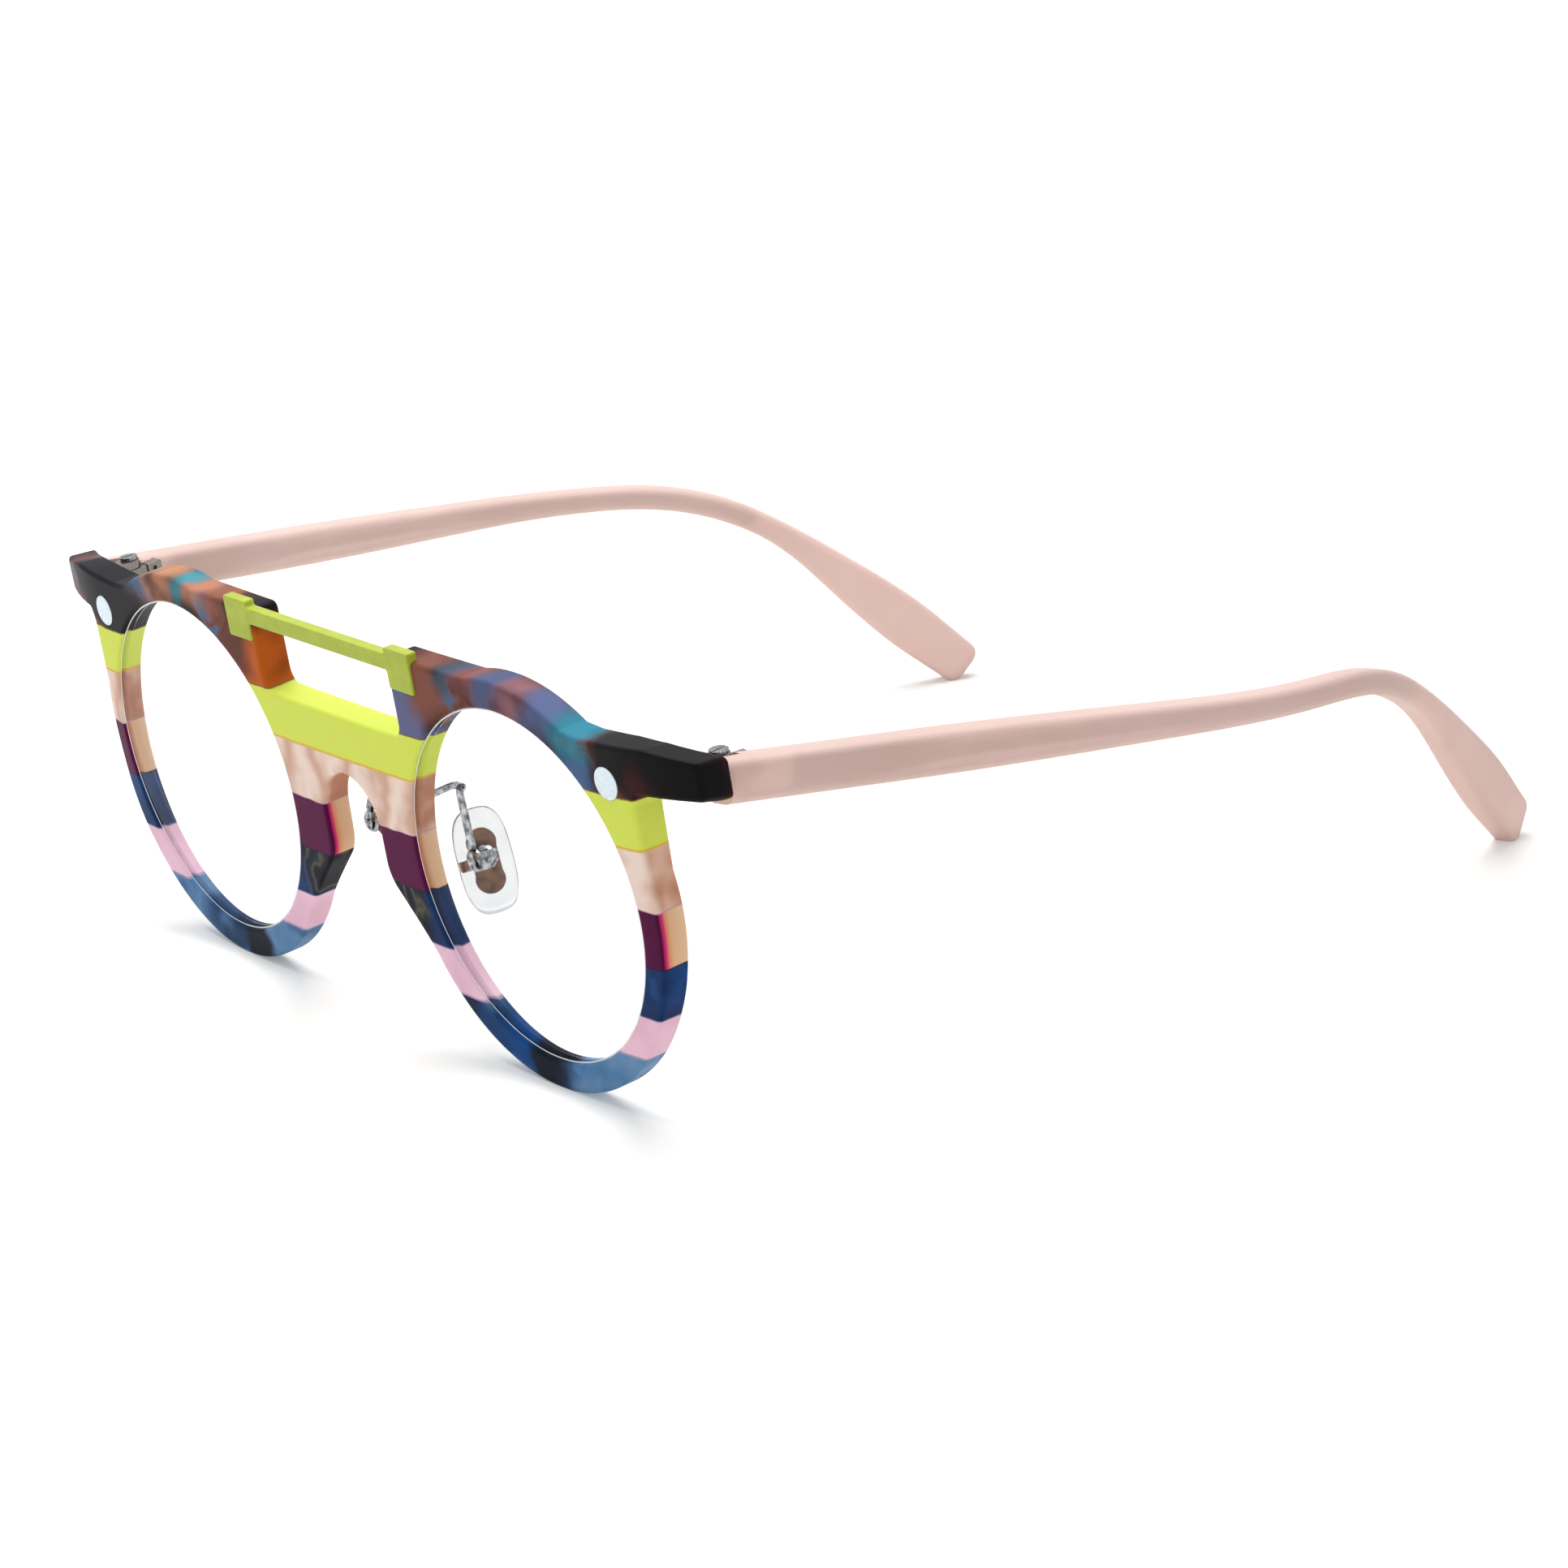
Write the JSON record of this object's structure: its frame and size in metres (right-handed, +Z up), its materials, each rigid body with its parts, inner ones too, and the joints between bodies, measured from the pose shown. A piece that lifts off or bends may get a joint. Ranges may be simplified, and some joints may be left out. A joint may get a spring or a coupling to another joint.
{
  "type": "round eyeglasses",
  "caption": "Round-lens eyeglasses with a laminated multicolour acetate front, a metal brow bar, nose pads and folding translucent temples.",
  "frame": {"origin": "on the surface that the glasses stand on, under the middle of their box", "axes": "+X across the face towards the wearer's left, +Y from the front back to the temple tips, +Z up; the front faces -Y"},
  "size_m": [0.1536, 0.141, 0.051],
  "materials": {
    "front_acetate": "satin laminated cellulose acetate in colour layers",
    "bar_paint": "satin lime enamel on steel",
    "pin_metal": "turned",
    "lens": "clear, polished",
    "rivet_metal": "pale enamelled disc",
    "hinge_metal": "gunmetal",
    "screw_metal": "bright, slotted",
    "temple_acetate": "milky translucent, matte",
    "core_metal": "plain wire core",
    "pad_metal": "polished",
    "insert_metal": "copper toned",
    "pad_silicone": "clear silicone"
  },
  "bodies": {
    "front": {"front_frame": "front_acetate", "brow_bar": "bar_paint", "left_brow_bar_pin": "pin_metal", "right_brow_bar_pin": "pin_metal", "left_lens": "lens", "right_lens": "lens", "left_rivet": "rivet_metal", "right_rivet": "rivet_metal", "left_front_hinge": "hinge_metal", "right_front_hinge": "hinge_metal", "left_hinge_screw": "screw_metal", "right_hinge_screw": "screw_metal", "left_pad_arm": "pad_metal", "right_pad_arm": "pad_metal", "left_pad_box": "pad_metal", "right_pad_box": "pad_metal", "left_pad_screw": "screw_metal", "right_pad_screw": "screw_metal"},
    "left_temple_body": {"left_temple": "temple_acetate", "left_temple_core": "core_metal", "left_temple_hinge": "hinge_metal"},
    "right_temple_body": {"right_temple": "temple_acetate", "right_temple_core": "core_metal", "right_temple_hinge": "hinge_metal"},
    "left_pad_body": {"left_nose_pad": "pad_silicone", "left_pad_insert": "insert_metal"},
    "right_pad_body": {"right_nose_pad": "pad_silicone", "right_pad_insert": "insert_metal"}
  },
  "joints": [
    {"name": "left_temple_fold", "type": "hinge", "parent": "front", "child": "left_temple_body", "pos_m": [0.0647, -0.05892, 0.04342], "axis": [0, -0.0946, 0.9955], "range_deg": [0, 85]},
    {"name": "right_temple_fold", "type": "hinge", "parent": "front", "child": "right_temple_body", "pos_m": [-0.0647, -0.05892, 0.04342], "axis": [0, 0.0946, -0.9955], "range_deg": [0, 77]},
    {"name": "left_pad_rock", "type": "hinge", "parent": "front", "child": "left_pad_body", "pos_m": [0.0116, -0.05785, 0.02081], "axis": [0, 1, 0], "range_deg": [-10, 10]},
    {"name": "right_pad_rock", "type": "hinge", "parent": "front", "child": "right_pad_body", "pos_m": [-0.0116, -0.05785, 0.02081], "axis": [0, -1, 0], "range_deg": [-10, 10]}
  ]
}
